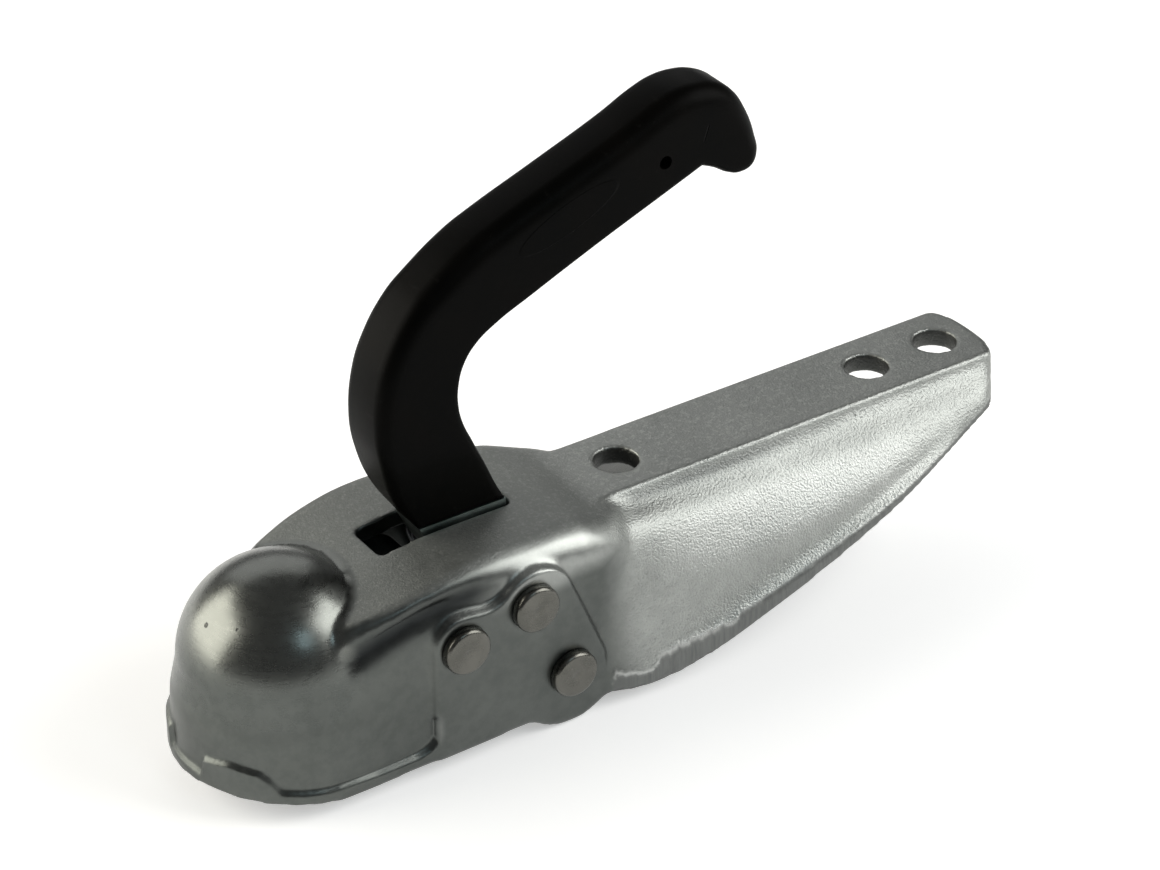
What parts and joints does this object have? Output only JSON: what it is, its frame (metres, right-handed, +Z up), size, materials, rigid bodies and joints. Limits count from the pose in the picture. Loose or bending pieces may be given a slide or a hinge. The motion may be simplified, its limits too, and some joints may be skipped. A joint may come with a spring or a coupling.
{
  "type": "trailer coupling head",
  "caption": "Plated cast coupling head that locks on a tow ball: domed socket, riveted pivot pins, jaw worked by a hooked hand lever, and a tapering channel tail drilled for drawbar bolts.",
  "frame": {"origin": "centre of the tow ball when it is seated in the socket", "axes": "+X runs back along the tail towards the trailer, +Z is up towards the lever"},
  "size_m": [0.3021, 0.0838, 0.1929],
  "materials": {
    "casting": "zinc plated casting, satin",
    "pin_steel": "zinc plated, smooth",
    "jaw_steel": "cast, plated",
    "arm_steel": "zinc plated steel plate",
    "spacer": "turned steel",
    "bush": "sintered bearing metal",
    "spring_wire": "oiled spring wire",
    "grip": "satin black moulding"
  },
  "bodies": {
    "coupling": {"coupling_body": "casting", "jaw_pin": "pin_steel", "lever_pin": "pin_steel", "spring_pin": "pin_steel", "jaw_spacers": "spacer", "lever_spacers": "spacer", "spring_sleeve": "spacer", "lever_spring": "spring_wire"},
    "lever": {"lever_arm": "arm_steel", "lever_grip": "grip", "lever_bush": "bush"},
    "jaw": {"ball_jaw": "jaw_steel", "jaw_bush": "bush"}
  },
  "joints": [
    {"name": "lever_hinge", "type": "hinge", "parent": "coupling", "child": "lever", "pos_m": [0.0678, 0, 0.0116], "axis": [0, -1, 0], "range_deg": [0, 18], "stiffness_Nm_per_rad": 1.5, "springref_deg": -34.38, "deforming": ["lever_spring"]},
    {"name": "jaw_hinge", "type": "hinge", "parent": "coupling", "child": "jaw", "pos_m": [0.0426, 0, 0.006], "axis": [0, -1, 0], "range_deg": [0, 12]}
  ],
  "couplings": [
    {"joint": "jaw_hinge", "follows": "lever_hinge", "ratio": 0.6666}
  ]
}
